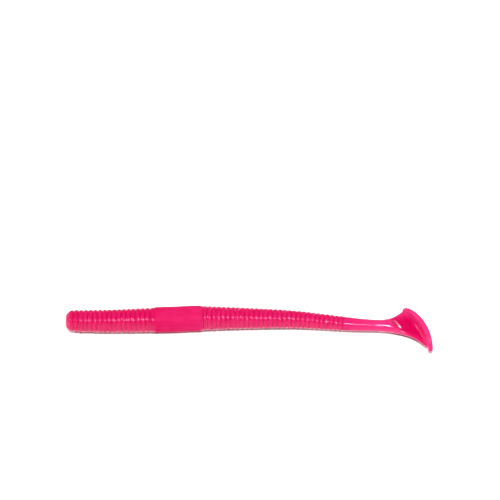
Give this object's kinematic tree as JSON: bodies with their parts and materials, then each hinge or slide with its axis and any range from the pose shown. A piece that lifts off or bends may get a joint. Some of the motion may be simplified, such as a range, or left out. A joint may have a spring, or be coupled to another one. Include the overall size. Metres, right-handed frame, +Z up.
{
  "type": "soft plastic worm lure",
  "caption": "Ribbed hexagonal soft plastic fishing worm with a smooth collar, a thin stem and a boot-shaped swimming tail; bends along its length.",
  "frame": {"origin": "on the collar's resting facet, near its middle, on the surface that the worm lies on", "axes": "+X along the body towards the tail, +Z up from the surface, +Y towards the heel side of the boot tail"},
  "size_m": [0.1266, 0.0181, 0.0088],
  "materials": {
    "plastisol": "gloss, slightly translucent"
  },
  "bodies": {
    "collar": {"front_ribs_2": "plastisol", "egg_collar": "plastisol"},
    "head": {"nose_cap": "plastisol", "front_ribs_1": "plastisol"},
    "rear_1": {"rear_ribs_1": "plastisol"},
    "rear_2": {"rear_ribs_2": "plastisol"},
    "rear_3": {"rear_ribs_3": "plastisol"},
    "stem_1": {"stem_root": "plastisol"},
    "stem_2": {"stem_tip": "plastisol"},
    "boot": {"tail_web": "plastisol", "tail_sole": "plastisol"}
  },
  "joints": [
    {"name": "head_bend", "type": "hinge", "parent": "collar", "child": "head", "pos_m": [-0.0219, -0.0007, 0.00443], "axis": [0, 0, -1], "range_deg": [-20, 20], "stiffness_Nm_per_rad": 0.0035},
    {"name": "rear_bend_1", "type": "hinge", "parent": "collar", "child": "rear_1", "pos_m": [0.0093, 0.0004, 0.00443], "axis": [0, 0, 1], "range_deg": [-18, 18], "stiffness_Nm_per_rad": 0.0035},
    {"name": "rear_bend_2", "type": "hinge", "parent": "rear_1", "child": "rear_2", "pos_m": [0.0256, 0.00036, 0.00443], "axis": [0, 0, 1], "range_deg": [-18, 18], "stiffness_Nm_per_rad": 0.0026},
    {"name": "rear_bend_3", "type": "hinge", "parent": "rear_2", "child": "rear_3", "pos_m": [0.0419, -0.0001, 0.00443], "axis": [0, 0, 1], "range_deg": [-18, 18], "stiffness_Nm_per_rad": 0.0016},
    {"name": "rear_bend_4", "type": "hinge", "parent": "rear_3", "child": "stem_1", "pos_m": [0.0582, -0.00168, 0.00443], "axis": [0, 0, 1], "range_deg": [-18, 18], "stiffness_Nm_per_rad": 0.0008},
    {"name": "stem_bend", "type": "hinge", "parent": "stem_1", "child": "stem_2", "pos_m": [0.0655, -0.00228, 0.00443], "axis": [0, 0, 1], "range_deg": [-30, 30], "stiffness_Nm_per_rad": 0.0004},
    {"name": "tail_kick", "type": "hinge", "parent": "stem_2", "child": "boot", "pos_m": [0.0713, -0.0025, 0.00443], "axis": [0, -1, 0], "range_deg": [0, 45], "stiffness_Nm_per_rad": 0.0004}
  ],
  "couplings": [
    {"joint": "rear_bend_2", "follows": "rear_bend_1", "ratio": 1},
    {"joint": "rear_bend_3", "follows": "rear_bend_1", "ratio": 1},
    {"joint": "rear_bend_4", "follows": "rear_bend_1", "ratio": 1}
  ]
}
